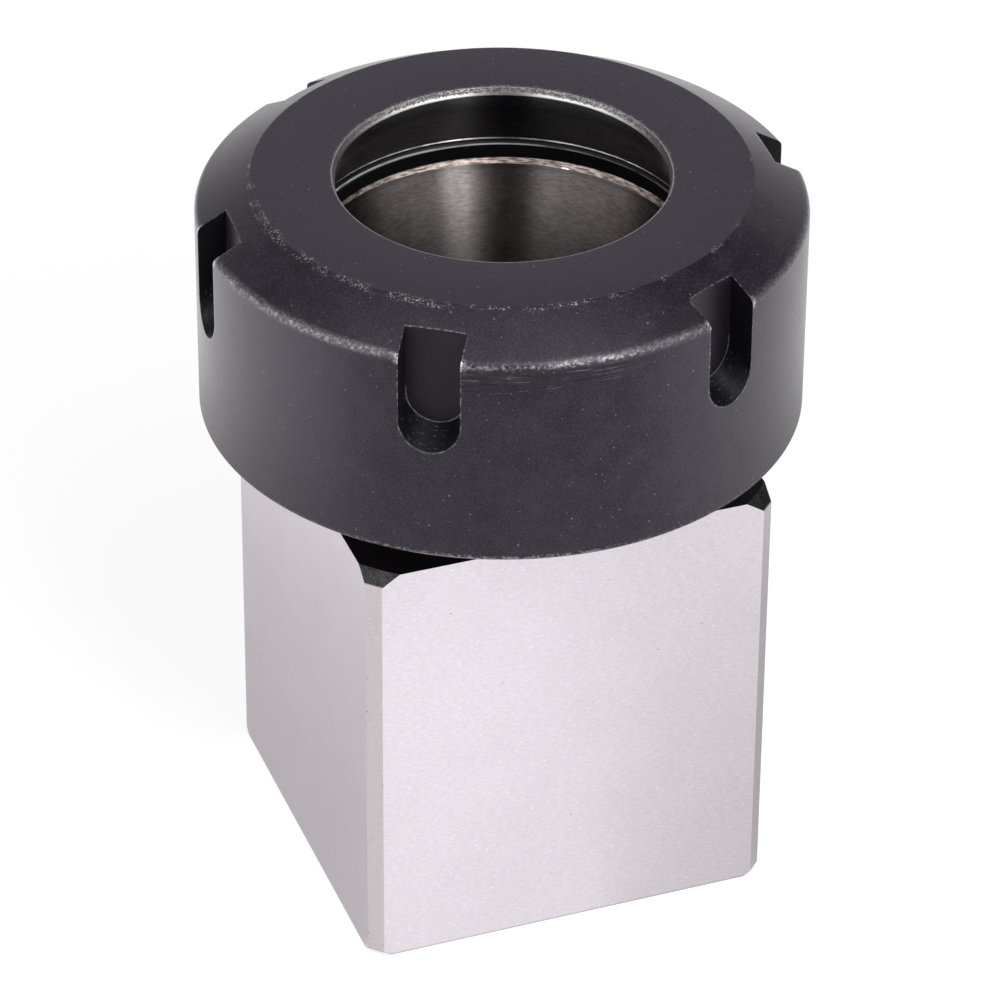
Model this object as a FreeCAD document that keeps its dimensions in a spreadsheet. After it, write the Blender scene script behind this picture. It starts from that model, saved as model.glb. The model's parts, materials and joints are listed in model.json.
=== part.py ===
import FreeCAD, Part
import Sketcher
import math
import os

# Square collet block: a steel block, square below and threaded above, with an
# 8 degree taper for a spring collet, and the closer nut screwed down on its nose.
# Millimetres. +Z runs up the common axis, the origin is the centre of the base,
# and the four flats face X and Y.

doc = FreeCAD.newDocument("collet_block")

# Driving sizes
SIZES = [
    # Block: the square shank
    ("across_flats", 44.45, "square across flats, 1 3/4 inch"),
    ("square_height", 48.75, "base to the shoulder under the nose"),
    ("corner_chamfer", 1.36, "leg of the flat along each upright corner"),
    ("shoulder_corner_radius", 29.2, "turned corners: radius at the shoulder"),
    ("base_corner_radius", 29.95, "turned corners: radius at the base"),
    # Block: the threaded nose
    ("thread_diameter", 50.0, "major diameter of the M50 x 1.5 thread"),
    ("nose_height", 20.75, "shoulder to the end face of the nose"),
    ("neck_diameter", 47.6, "thread relief at the shoulder"),
    ("neck_height", 3.5, "length of the thread relief"),
    ("nose_chamfer", 1.0, "start of the thread"),
    # Block: taper and through bore
    ("mouth_diameter", 40.0, "taper at the end face of the nose"),
    ("mouth_chamfer", 0.5, "broken edge of the mouth"),
    ("taper_angle", 8.0, "taper, measured from the axis"),
    ("taper_depth", 37.0, "length of the taper"),
    ("bore_diameter", 29.0, "through bore below the taper"),
    ("bore_chamfer", 1.0, "bore edge at the base"),
    # Nut: outside
    ("nut_diameter", 63.0, "outside diameter"),
    ("nut_length", 26.5, "overall length"),
    ("face_diameter", 51.5, "flat front face"),
    ("cone_angle", 30.0, "fall of the outer cone"),
    ("shoulder_round", 0.7, "round where cone meets barrel"),
    ("rim_round", 0.35, "round where face meets cone"),
    ("skirt_chamfer", 0.4, "outer edge of the open end"),
    # Nut: inside, from the front face down
    ("lip_width", 0.28, "how far the ground lip opens at the front face"),
    ("lip_height", 0.83, "front face to the foot of that lip"),
    ("clamp_angle", 30.0, "clamping cone, measured from the axis"),
    ("clamp_length", 5.89, "length of the clamping cone"),
    ("head_diameter", 41.0, "large end of the clamping cone"),
    ("head_recess", 0.6, "straight seat under the cone"),
    ("head_round", 0.5, "round where cone meets seat"),
    ("ring_thickness", 1.65, "extraction ring"),
    ("ring_bore_diameter", 39.8, "bore of the extraction ring"),
    ("ring_offset", 0.45, "how far that bore is off centre"),
    ("ring_direction", 40.0, "which way it is off centre"),
    ("thread_depth", 16.3, "open end to the underside of the ring"),
    ("relief_diameter", 50.8, "thread relief under the ring"),
    ("relief_length", 3.0, "length of that relief"),
    ("lead_chamfer", 1.0, "thread lead-in at the open end"),
    # Nut: spanner slots
    ("slot_count", 6, "spanner slots round the nut"),
    ("slot_width", 6.3, "width of a slot and of its round end"),
    ("slot_depth", 3.15, "depth of the flat floor below the barrel"),
    ("slot_reach", 14.0, "front face to the lowest point of a slot"),
    ("slot_run_out", 27.5, "fall of the round end towards the outside"),
    ("nut_clock", -3.3, "turn of the nut on the block"),
    # Fits
    ("thread_clearance", 0.05, "between the two thread cylinders, on radius"),
    ("seat_gap", 0.05, "ring underside to the end face of the nose"),
]

sheet = doc.addObject("Spreadsheet::Sheet", "Sizes")
for row, (alias, value, note) in enumerate(SIZES, start=1):
    sheet.set("A%d" % row, alias)
    sheet.set("B%d" % row, str(value))
    sheet.set("C%d" % row, note)
    sheet.setAlias("B%d" % row, alias)
doc.recompute()


class Size:
    """A length or angle that knows its value and its formula on the sheet."""

    def __init__(self, value, text):
        self.value = float(value)
        self.text = text

    @staticmethod
    def of(other):
        return other if isinstance(other, Size) else Size(other, repr(float(other)))

    def combine(self, sign, other, value):
        return Size(value, "(%s %s %s)" % (self.text, sign, Size.of(other).text))

    def __add__(self, other):
        return self.combine("+", other, self.value + Size.of(other).value)

    def __sub__(self, other):
        return self.combine("-", other, self.value - Size.of(other).value)

    def __mul__(self, other):
        return self.combine("*", other, self.value * Size.of(other).value)

    def __truediv__(self, other):
        return self.combine("/", other, self.value / Size.of(other).value)

    def __neg__(self):
        return Size(-self.value, "(-1 * %s)" % self.text)

    def tan(self):
        return Size(math.tan(math.radians(self.value)), "tan(%s)" % self.text)

    def cos(self):
        return Size(math.cos(math.radians(self.value)), "cos(%s)" % self.text)

    def sin(self):
        return Size(math.sin(math.radians(self.value)), "sin(%s)" % self.text)


size = {alias: Size(value, "Sizes." + alias) for alias, value, note in SIZES}
ZERO = Size(0, "0")


def new_body(name):
    body = doc.addObject("PartDesign::Body", name)
    body.Label = name
    return body


def new_sketch(body, name, plane, lift=None):
    """Empty sketch on one of the body's origin planes, lifted along its normal."""
    sketch = body.newObject("Sketcher::SketchObject", name)
    origin = [f for f in body.Origin.OriginFeatures if f.Role == plane][0]
    sketch.AttachmentSupport = [(origin, "")]
    sketch.MapMode = "FlatFace"
    if lift is not None:
        sketch.setExpression("AttachmentOffset.Base.z", lift.text)
    return sketch


def place_across(sketch, geometry, end, kind, value, name):
    """Ties one end of a curve to its distance across or up from the sketch origin."""
    if value.text == "0":
        axis = -2 if kind == "DistanceX" else -1
        sketch.addConstraint(Sketcher.Constraint("PointOnObject", geometry, end, axis))
        return
    index = sketch.addConstraint(
        Sketcher.Constraint(kind, -1, 1, geometry, end, value.value))
    sketch.renameConstraint(index, name)
    sketch.setExpression("Constraints." + name, value.text)


def place_point(sketch, geometry, end, x, y, label):
    """Ties one end of a curve to both its distances from the sketch origin."""
    place_across(sketch, geometry, end, "DistanceX", x, label + "_x")
    place_across(sketch, geometry, end, "DistanceY", y, label + "_y")


def closed_profile(sketch, points, label):
    """Closed outline through (x, y) corners, each corner tied to its sizes."""
    ends = [FreeCAD.Vector(x.value, y.value, 0) for x, y in points]
    first = None
    for i, start in enumerate(ends):
        line = Part.LineSegment(start, ends[(i + 1) % len(ends)])
        index = sketch.addGeometry(line, False)
        first = index if first is None else first
    for i in range(len(ends)):
        here, after = first + i, first + (i + 1) % len(ends)
        sketch.addConstraint(Sketcher.Constraint("Coincident", here, 2, after, 1))
    for i, (x, y) in enumerate(points):
        place_point(sketch, first + i, 1, x, y, "%s%d" % (label, i))


def turn(body, kind, name, sketch):
    """Revolution or Groove of a sketch, all the way round its upright axis."""
    feature = body.newObject("PartDesign::" + kind, name)
    feature.Profile = sketch
    feature.ReferenceAxis = (sketch, ["V_Axis"])
    feature.Angle = 360.0
    doc.recompute()
    return feature


def circle_edges(shape, radius, height):
    """Names of the circular edges of a given radius at a given height."""
    found = []
    for i, edge in enumerate(shape.Edges, start=1):
        curve = edge.Curve
        if not isinstance(curve, Part.Circle):
            continue
        if abs(curve.Radius - radius) < 1e-4 and abs(curve.Center.z - height) < 1e-4:
            found.append("Edge%d" % i)
    return found


# Heights and radii that both pieces share
half_flat = size["across_flats"] / 2
thread_radius = size["thread_diameter"] / 2
nose_top = size["square_height"] + size["nose_height"]

# Collet block, first the square blank with its ground upright corners
block = new_body("collet_block")
sketch = new_sketch(block, "square_outline", "XY_Plane")
closed_profile(sketch, [
    (-half_flat, -half_flat),
    (half_flat, -half_flat),
    (half_flat, half_flat),
    (-half_flat, half_flat),
], "corner")
shank = block.newObject("PartDesign::Pad", "square_shank")
shank.Profile = sketch
shank.setExpression("Length", "Sizes.square_height")
doc.recompute()

upright = []
for i, edge in enumerate(shank.Shape.Edges, start=1):
    if abs(edge.tangentAt(edge.FirstParameter).z) > 0.999:
        upright.append("Edge%d" % i)
corners = block.newObject("PartDesign::Chamfer", "upright_corners")
corners.Base = (shank, upright)
corners.setExpression("Size", "Sizes.corner_chamfer")
doc.recompute()

# The four corners were turned round at 45 degrees, more at the shoulder than at the base
past_corner = size["across_flats"]
shoulder = size["square_height"]
sketch = new_sketch(block, "turned_corner_profile", "XZ_Plane")
closed_profile(sketch, [
    (size["shoulder_corner_radius"], shoulder),
    (past_corner, shoulder - (past_corner - size["shoulder_corner_radius"])),
    (past_corner, shoulder),
], "shoulder")
closed_profile(sketch, [
    (size["base_corner_radius"], ZERO),
    (past_corner, ZERO),
    (past_corner, past_corner - size["base_corner_radius"]),
], "base")
before = corners.Shape.Volume
turned = turn(block, "Groove", "turned_corners", sketch)
if turned.Shape.Volume >= before:
    raise RuntimeError("the turned corners cut nothing")

# Nose: thread relief, thread cylinder and its start chamfer
neck_radius = size["neck_diameter"] / 2
neck_top = shoulder + size["neck_height"]
sketch = new_sketch(block, "nose_profile", "XZ_Plane")
closed_profile(sketch, [
    (ZERO, shoulder),
    (neck_radius, shoulder),
    (neck_radius, neck_top),
    (thread_radius, neck_top + (thread_radius - neck_radius)),
    (thread_radius, nose_top - size["nose_chamfer"]),
    (thread_radius - size["nose_chamfer"], nose_top),
    (ZERO, nose_top),
], "nose")
nose = turn(block, "Revolution", "threaded_nose", sketch)

# Taper for the collet, its broken mouth edge, and the bore through the base
taper = size["taper_angle"].tan()
mouth_radius = size["mouth_diameter"] / 2
bore_radius = size["bore_diameter"] / 2
edge_radius = mouth_radius - size["mouth_chamfer"] * taper
taper_foot = nose_top - size["taper_depth"]
sketch = new_sketch(block, "taper_profile", "XZ_Plane")
closed_profile(sketch, [
    (ZERO, ZERO),
    (bore_radius + size["bore_chamfer"], ZERO),
    (bore_radius, size["bore_chamfer"]),
    (bore_radius, taper_foot),
    (mouth_radius - size["taper_depth"] * taper, taper_foot),
    (edge_radius, nose_top - size["mouth_chamfer"]),
    (edge_radius + size["mouth_chamfer"], nose_top),
    (ZERO, nose_top),
], "taper")
before = nose.Shape.Volume
bore = turn(block, "Groove", "collet_taper", sketch)
if bore.Shape.Volume >= before:
    raise RuntimeError("the taper cut nothing")

# Closer nut, turned with its inside: lip, clamping cone, head seat, ring and thread.
# Its own zero is the open end.
nut = new_body("closer_nut")
barrel_radius = size["nut_diameter"] / 2
face_radius = size["face_diameter"] / 2
cone_foot = size["nut_length"] - (barrel_radius - face_radius) * size["cone_angle"].tan()
head_radius = size["head_diameter"] / 2
throat_radius = head_radius - size["clamp_length"] * size["clamp_angle"].tan()
lip_radius = throat_radius + size["lip_width"]
ring_radius = size["ring_bore_diameter"] / 2
ring_under = size["thread_depth"]
ring_top = ring_under + size["ring_thickness"]
seat_top = ring_top + size["head_recess"]
throat_foot = seat_top + size["clamp_length"]
relief_radius = size["relief_diameter"] / 2
relief_foot = ring_under - size["relief_length"]
nut_thread_radius = thread_radius + size["thread_clearance"]
sketch = new_sketch(nut, "nut_profile", "XZ_Plane")
closed_profile(sketch, [
    (nut_thread_radius + size["lead_chamfer"], ZERO),
    (barrel_radius - size["skirt_chamfer"], ZERO),
    (barrel_radius, size["skirt_chamfer"]),
    (barrel_radius, cone_foot),
    (face_radius, size["nut_length"]),
    (lip_radius, size["nut_length"]),
    (throat_radius, size["nut_length"] - size["lip_height"]),
    (throat_radius, throat_foot),
    (head_radius, seat_top),
    (head_radius, ring_top),
    (ring_radius - size["ring_offset"], ring_top),
    (ring_radius - size["ring_offset"], ring_under),
    (relief_radius, ring_under),
    (relief_radius, relief_foot),
    (nut_thread_radius, relief_foot - (relief_radius - nut_thread_radius)),
    (nut_thread_radius, size["lead_chamfer"]),
], "nut")
turned_nut = turn(nut, "Revolution", "turned_nut", sketch)

# The extraction ring: one side of its bore stands in behind the collet's head,
# the other clears it, so the bore is off centre
ring_x = size["ring_offset"] * size["ring_direction"].cos()
ring_y = size["ring_offset"] * size["ring_direction"].sin()
sketch = new_sketch(nut, "ring_bore_outline", "XY_Plane", ring_under)
circle = Part.Circle(FreeCAD.Vector(ring_x.value, ring_y.value, 0), FreeCAD.Vector(0, 0, 1),
                     ring_radius.value)
index = sketch.addGeometry(circle, False)
place_point(sketch, index, 3, ring_x, ring_y, "centre")
radius_index = sketch.addConstraint(Sketcher.Constraint("Radius", index, ring_radius.value))
sketch.renameConstraint(radius_index, "ring_radius")
sketch.setExpression("Constraints.ring_radius", ring_radius.text)
ring_bore = nut.newObject("PartDesign::Pocket", "ring_bore")
ring_bore.Profile = sketch
ring_bore.Reversed = True
ring_bore.setExpression("Length", "Sizes.ring_thickness")
doc.recompute()
if ring_bore.Shape.Volume >= turned_nut.Shape.Volume:
    raise RuntimeError("the ring bore cut nothing")

# Rounded edges: the shoulder, the rim of the face and the foot of the clamping cone
last = ring_bore
for name, radius, height, alias in (
        ("shoulder_edge", barrel_radius, cone_foot, "shoulder_round"),
        ("rim_edge", face_radius, size["nut_length"], "rim_round"),
        ("head_edge", head_radius, seat_top, "head_round")):
    edges = circle_edges(last.Shape, radius.value, height.value)
    if not edges:
        raise RuntimeError("no edge for " + name)
    fillet = nut.newObject("PartDesign::Fillet", name)
    fillet.Base = (last, edges)
    fillet.setExpression("Radius", "Sizes." + alias)
    doc.recompute()
    last = fillet

# One spanner slot: flat floor, round end, open through the cone at the front.
# The cutter leaves outwards and down, so the round end falls towards the outside.
floor = barrel_radius - size["slot_depth"]
slot_half = size["slot_width"] / 2
floor_drop = size["slot_depth"] * size["slot_run_out"].tan()
end_centre = size["nut_length"] - size["slot_reach"] + floor_drop + slot_half
over_face = size["nut_length"] + size["slot_width"]
sketch = new_sketch(nut, "slot_outline", "YZ_Plane", floor)
left, right = -slot_half.value, slot_half.value
low, high = end_centre.value, over_face.value
V = FreeCAD.Vector
lines = [
    sketch.addGeometry(Part.LineSegment(V(left, high, 0), V(left, low, 0)), False),
    sketch.addGeometry(Part.LineSegment(V(right, low, 0), V(right, high, 0)), False),
    sketch.addGeometry(Part.LineSegment(V(right, high, 0), V(left, high, 0)), False),
]
arc = sketch.addGeometry(Part.ArcOfCircle(
    Part.Circle(V(0, low, 0), V(0, 0, 1), right), math.pi, 2 * math.pi), False)
sketch.addConstraint(Sketcher.Constraint("Tangent", lines[0], 2, arc, 1))
sketch.addConstraint(Sketcher.Constraint("Tangent", arc, 2, lines[1], 1))
sketch.addConstraint(Sketcher.Constraint("Coincident", lines[1], 2, lines[2], 1))
sketch.addConstraint(Sketcher.Constraint("Coincident", lines[2], 2, lines[0], 1))
sketch.addConstraint(Sketcher.Constraint("Vertical", lines[0]))
sketch.addConstraint(Sketcher.Constraint("Vertical", lines[1]))
place_point(sketch, lines[0], 1, -slot_half, over_face, "top_left")
place_point(sketch, lines[1], 2, slot_half, over_face, "top_right")
place_across(sketch, arc, 3, "DistanceY", end_centre, "end_centre")
doc.recompute()
slot = nut.newObject("PartDesign::Pocket", "spanner_slot")
slot.Profile = sketch
slot.UseCustomVector = True
slot.AlongSketchNormal = True
slot.Direction = FreeCAD.Vector(1, 0, 0)
slot.setExpression("Direction.z", "-tan(Sizes.slot_run_out)")
slot.setExpression("Length", "Sizes.slot_depth * 2")
doc.recompute()
if slot.Shape.Volume >= last.Shape.Volume:
    raise RuntimeError("the slot cut nothing")

slots = nut.newObject("PartDesign::PolarPattern", "spanner_slots")
slots.Originals = [slot]
slots.Axis = ([f for f in nut.Origin.OriginFeatures if f.Role == "Z_Axis"][0], [""])
slots.Angle = 360.0
slots.setExpression("Occurrences", "Sizes.slot_count")
nut.Tip = slots
doc.recompute()

# The nut is screwed down until its ring meets the end face of the nose
nut_base = nose_top + size["seat_gap"] - size["thread_depth"]
nut.setExpression("Placement.Base.z", nut_base.text)
nut.setExpression("Placement.Rotation.Angle", "Sizes.nut_clock")
doc.recompute()

# Every object is checked before anything is written
for item in doc.Objects:
    if "Invalid" in item.State or "Error" in item.State:
        raise RuntimeError("%s failed: %s" % (item.Name, item.State))
os.makedirs("parts", exist_ok=True)
for body in (block, nut):
    shape = body.Shape
    if shape.isNull() or not shape.isValid() or len(shape.Solids) != 1:
        raise RuntimeError("%s is not one valid solid" % body.Label)
    shape.exportStep("parts/%s.step" % body.Label)
    box = shape.BoundBox
    print("%s: %.1f mm3, x %.2f to %.2f, y %.2f to %.2f, z %.2f to %.2f" % (
        body.Label, shape.Volume, box.XMin, box.XMax, box.YMin, box.YMax, box.ZMin, box.ZMax))
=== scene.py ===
import json
import math
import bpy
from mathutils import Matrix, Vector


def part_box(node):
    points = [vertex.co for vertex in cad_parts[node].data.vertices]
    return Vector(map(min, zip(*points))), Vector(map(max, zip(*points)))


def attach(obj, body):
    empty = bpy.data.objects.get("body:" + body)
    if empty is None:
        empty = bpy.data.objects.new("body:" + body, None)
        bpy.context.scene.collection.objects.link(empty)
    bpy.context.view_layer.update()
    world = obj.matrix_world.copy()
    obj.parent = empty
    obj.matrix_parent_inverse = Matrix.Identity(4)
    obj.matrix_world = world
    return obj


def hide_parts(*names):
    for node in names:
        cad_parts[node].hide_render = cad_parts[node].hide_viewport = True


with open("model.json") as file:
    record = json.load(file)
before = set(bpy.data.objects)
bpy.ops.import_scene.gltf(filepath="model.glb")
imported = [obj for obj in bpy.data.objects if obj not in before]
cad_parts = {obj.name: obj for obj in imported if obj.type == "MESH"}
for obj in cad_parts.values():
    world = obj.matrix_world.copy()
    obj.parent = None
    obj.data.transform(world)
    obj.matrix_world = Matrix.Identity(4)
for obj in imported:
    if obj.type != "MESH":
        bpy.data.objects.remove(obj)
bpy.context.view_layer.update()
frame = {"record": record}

from types import SimpleNamespace

import bmesh
import bpy
import numpy as np
from mathutils import Matrix, Vector

# The room: a pale table under a white sky, with an upright softbox either side of the
# camera. The camera stands where the photograph was taken from.
MM = 0.001
CAMERA_AZIMUTH, CAMERA_ELEVATION, CAMERA_ROLL = -20.275, 34.154, 0.424
CAMERA_DISTANCE, AIM_HEIGHT = 595.27 * MM, 39.382 * MM
LENS, SENSOR, NEAREST, FARTHEST = 202.17, 36.0, 0.01, 20.0


def toward(azimuth, elevation):
    """Unit vector from the object to a viewer: azimuth 0 stands on -Y, 90 on +X."""
    a, e = math.radians(azimuth), math.radians(elevation)
    return Vector((math.sin(a) * math.cos(e), -math.cos(a) * math.cos(e), math.sin(e)))


def facing(place, aim, roll=0.0):
    """Matrix of a thing at place whose -Z looks at aim, turned about that line by roll."""
    turned = (aim - place).to_track_quat("-Z", "Y").to_matrix().to_4x4()
    return Matrix.Translation(place) @ turned @ Matrix.Rotation(math.radians(roll), 4, "Z")


def link(thing):
    """Puts a new object in the scene."""
    bpy.context.scene.collection.objects.link(thing)
    return thing


aim = Vector((0, 0, AIM_HEIGHT))
camera = link(bpy.data.objects.new("camera", bpy.data.cameras.new("camera")))
camera.data.sensor_width, camera.data.lens = SENSOR, LENS
camera.data.clip_start, camera.data.clip_end = NEAREST, FARTHEST
camera.matrix_world = facing(
    aim + CAMERA_DISTANCE * toward(CAMERA_AZIMUTH, CAMERA_ELEVATION), aim, CAMERA_ROLL)
bpy.context.scene.camera = camera
bpy.context.scene.view_settings.view_transform = "Standard"


def softbox(name, azimuth, elevation, distance, width, height, power):
    """Area light that looks at the object. Its azimuth is measured round from the camera."""
    lamp = link(bpy.data.objects.new(name, bpy.data.lights.new(name, "AREA")))
    lamp.data.shape, lamp.data.size, lamp.data.size_y = "RECTANGLE", width, height
    lamp.data.energy = power
    lamp.matrix_world = facing(aim + distance * toward(CAMERA_AZIMUTH + azimuth, elevation), aim)


softbox("right_softbox", azimuth=28, elevation=44, distance=0.95, width=0.24, height=0.9,
        power=5.0)
softbox("left_softbox", azimuth=-33, elevation=44, distance=0.95, width=0.40, height=0.9,
        power=0.6)


class Value:
    """A shader value. Arithmetic on it adds Math nodes to its tree."""

    def __init__(self, shader, socket):
        self.shader, self.socket = shader, socket

    def out(self, name):
        """Another output of the same node."""
        return Value(self.shader, self.socket.node.outputs[name])

    def math(self, operation, *operands):
        """The operation of a Math node on the operands."""
        return self.shader.node("ShaderNodeMath", {"operation": operation},
                                dict(enumerate(operands)))

    def __add__(self, other):
        return self.math("ADD", self, other)

    def __radd__(self, other):
        return self.math("ADD", other, self)

    def __sub__(self, other):
        return self.math("SUBTRACT", self, other)

    def __rsub__(self, other):
        return self.math("SUBTRACT", other, self)

    def __mul__(self, other):
        return self.math("MULTIPLY", self, other)

    def __rmul__(self, other):
        return self.math("MULTIPLY", other, self)

    def __truediv__(self, other):
        return self.math("DIVIDE", self, other)

    def __rtruediv__(self, other):
        return self.math("DIVIDE", other, self)

    def __pow__(self, other):
        return self.math("POWER", self, other)

    def __neg__(self):
        return self.math("MULTIPLY", self, -1.0)

    def __abs__(self):
        return self.math("ABSOLUTE", self)

    def least(self, other):
        """The smaller of the two."""
        return self.math("MINIMUM", self, other)

    def most(self, other):
        """The larger of the two."""
        return self.math("MAXIMUM", self, other)


class Shader:
    """A node tree that hands out Values."""

    def __init__(self, owner):
        owner.use_nodes = True
        self.tree = owner.node_tree
        self.tree.nodes.clear()

    def node(self, kind, settings=(), sockets=(), out=0):
        """Adds a node: its settings first, then the values or links of its sockets."""
        made = self.tree.nodes.new(kind)
        for key, value in dict(settings).items():
            setattr(made, key, value)
        for key, value in dict(sockets).items():
            if isinstance(value, Value):
                self.tree.links.new(value.socket, made.inputs[key])
            else:
                made.inputs[key].default_value = value
        return Value(self, made.outputs[out] if made.outputs else None)

    def rays(self):
        """1 for a ray that sees things (from the camera, mirrored, or passed through)."""
        seen = self.node("ShaderNodeLightPath", out="Is Camera Ray")
        return seen.most(seen.out("Is Glossy Ray")).most(seen.out("Is Transmission Ray"))


class Finish(Shader):
    """A material of one Principled surface, with places measured in millimetres."""

    def __init__(self, name, **fixed):
        self.material = bpy.data.materials.new(name)
        super().__init__(self.material)
        self.surface = self.node("ShaderNodeBsdfPrincipled")
        for key, value in fixed.items():
            self.input(key).default_value = value
        self.show(self.surface)
        self.place = self.node("ShaderNodeVectorMath", {"operation": "SCALE"}, {
            0: self.node("ShaderNodeTexCoord", out="Object"), "Scale": 1 / MM})
        self.x = self.node("ShaderNodeSeparateXYZ", sockets={0: self.place}, out="X")
        self.y, self.z = self.x.out("Y"), self.x.out("Z")
        self.r = (self.x * self.x + self.y * self.y) ** 0.5

    def input(self, key):
        """Socket of the surface, by its name with _ for a space."""
        return self.surface.socket.node.inputs[key.replace("_", " ")]

    def show(self, surface):
        """Makes a shader the one that the material shows."""
        for old in [node for node in self.tree.nodes if node.type == "OUTPUT_MATERIAL"]:
            self.tree.nodes.remove(old)
        self.node("ShaderNodeOutputMaterial", sockets={"Surface": surface})

    def feed(self, **varying):
        """Ties inputs of the surface to values; a Value for Normal comes from bump."""
        for key, value in varying.items():
            self.tree.links.new(value.socket, self.input(key))

    def bump(self, height, depth):
        """Normal of a relief of 0 to 1, depth millimetres deep."""
        return self.node("ShaderNodeBump", {}, {"Distance": depth * MM, "Height": height})

    def vector(self, x, y, z):
        """Vector of three values."""
        return self.node("ShaderNodeCombineXYZ", sockets={0: x, 1: y, 2: z})

    def rise(self, value, low, high):
        """0 below low, 1 above high, a smooth step between. It falls if low is above high."""
        return self.node("ShaderNodeMapRange", {"interpolation_type": "SMOOTHSTEP"},
                         {0: value, 1: low, 2: high, 3: 0.0, 4: 1.0})

    def band(self, value, middle, half, soft):
        """1 within half of middle, fading to 0 over soft."""
        return self.rise(abs(value - middle), half + soft, half)

    def noise(self, place, scale=1.0, detail=2.0, rough=0.5):
        """Noise of 0 to 1 with scale features a unit of place, in detail + 1 octaves."""
        return self.node("ShaderNodeTexNoise", {}, {
            "Vector": place, "Scale": scale, "Detail": detail, "Roughness": rough})

    def around(self, along, across, line):
        """Place for grain that runs round the axis: along features a millimetre round it at
        20 mm from it, across features a millimetre along the line, which is z or r."""
        turn = 20 * along / self.r
        return self.vector(self.x * turn, self.y * turn, line * across)

    def specks(self, place, size, share):
        """Dots in a share of the cells of a place. Size is their radius in cells."""
        cell = self.node("ShaderNodeTexVoronoi", {}, {"Vector": place, "Scale": 1.0}, "Distance")
        chance = self.node("ShaderNodeSeparateColor", sockets={0: cell.out("Color")})
        return self.rise(cell, size, size * 0.4) * self.rise(chance, share, share - 0.01)

    def blend(self, mask, below, above):
        """Colour that goes from below to above as mask goes from 0 to 1."""
        return self.node("ShaderNodeMix", {"data_type": "RGBA"}, {0: mask, 6: below, 7: above},
                         out=2)


# The table is a pale sheet that runs out of sight. The camera sees it nearly white, with the
# shadow of the block on it. Mirrored rays see a brightness that is written here by place, to
# match what the flats, the barrel and the throat reflect in the photograph.
WHITE, DARK = (1.0, 1.0, 1.0, 1.0), (0.0, 0.0, 0.0, 1.0)
SKY_LIGHT, GLOW_SEEN, GLOW_MIRRORED, SHARE_SEEN = 0.32, 1.27, 2.2, 0.65
TABLE_HALF, TABLE_TOP = 4.0, -0.00005

table = bpy.data.meshes.new("table")
table.from_pydata([(TABLE_HALF * x, TABLE_HALF * y, TABLE_TOP)
                   for x, y in ((-1, -1), (1, -1), (1, 1), (-1, 1))], [], [(0, 1, 2, 3)])
table_top = link(bpy.data.objects.new("table", table))
paper = Finish("table_paper", Base_Color=(0.9, 0.9, 0.9, 1.0), Roughness=0.9)
camera_ray = paper.node("ShaderNodeLightPath", out="Is Camera Ray")
mirror_ray = camera_ray.out("Is Glossy Ray")
seen = paper.node("ShaderNodeMixShader", {}, {
    0: camera_ray * SHARE_SEEN, 1: paper.surface,
    2: paper.node("ShaderNodeEmission", {}, {"Color": WHITE, "Strength": GLOW_SEEN})})

# Level of the mirrored table, first before the -Y flat, which sees it along the camera's
# azimuth: brighter on the left, and with distance. Ahead is the cosine of the bearing from
# the camera.
FLAT_FOOT, SIGHT_SLOPE = 22, 0.37
LEVEL_BEFORE, LEVEL_LEFT, LEVEL_BACK, LEVEL_FAR = 1.08, 1.07, 0.64, 0.90
to_camera = toward(CAMERA_AZIMUTH, 0)
ahead = (paper.x * to_camera.x + paper.y * to_camera.y) / paper.r
across = paper.x + (paper.y + FLAT_FOOT) * SIGHT_SLOPE
left, back = paper.rise(paper.x, -18, -24), paper.rise(paper.y, -23, -18)
level = LEVEL_BEFORE - 0.05 * paper.rise(across, -16, 0) - 0.16 * paper.rise(across, 0, 9) - (
    0.06 * paper.rise(across, 8, 14) + 0.06 * paper.rise(across, 14, 24))
level = level + paper.rise(paper.y, -FLAT_FOOT, -85) * (0.18 - 0.09 * paper.rise(across, 4, 10))

# Then left of the -X flat, behind the block, and far out, where the barrel sees it: brighter
# at the sides than towards the camera. Nothing is lit under the bore.
FAR_FROM, FAR_TO, BORE_FROM, BORE_TO = 92, 112, 16, 17
level = level + left * (LEVEL_LEFT - level)
level = level + back * (
    LEVEL_BACK - 0.05 * paper.rise(paper.x, -45, -24) * paper.rise(paper.y, -35, 10) - level)
level = level + paper.rise(paper.r, FAR_FROM, FAR_TO) * (
    LEVEL_FAR - level + paper.rise(ahead, 0.78, 0.42) * (
        0.70 + 0.67 * paper.rise(paper.x, -10, -60)))
level = level * paper.rise(paper.r, BORE_FROM, BORE_TO)
mirrored = paper.node("ShaderNodeEmission", {}, {
    "Color": paper.blend(level / GLOW_MIRRORED, DARK, WHITE), "Strength": GLOW_MIRRORED})
paper.show(paper.node("ShaderNodeMixShader", {}, {0: mirror_ray, 1: seen, 2: mirrored}))
table.materials.append(paper.material)

# The studio's wall glows on the camera's side, but for a dark gap between the softboxes, and
# is dim on the far side. Only mirrored rays see it, so that views keep their white ground.
SCREEN_RADIUS, SCREEN_LOW, SCREEN_HIGH, SCREEN_COLUMNS, SCREEN_ROWS = 1.9, 3, 78, 97, 25
BEHIND, BESIDE_CAMERA, BRIGHTEST, GAP, GAP_SOFT = 0.68, 2.4, 3.0, 20, 1.5
bearing, height = np.meshgrid(np.radians(np.linspace(0, 360, SCREEN_COLUMNS)),
                              np.radians(np.linspace(SCREEN_LOW, SCREEN_HIGH, SCREEN_ROWS)))
points = SCREEN_RADIUS * np.stack([np.sin(bearing) * np.cos(height),
                                   -np.cos(bearing) * np.cos(height), np.sin(height)], -1)
index = np.arange(points[..., 0].size).reshape(bearing.shape)
quads = np.stack([index[:-1, :-1], index[:-1, 1:], index[1:, 1:], index[1:, :-1]], -1)
screen = bpy.data.meshes.new("studio_wall")
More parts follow.
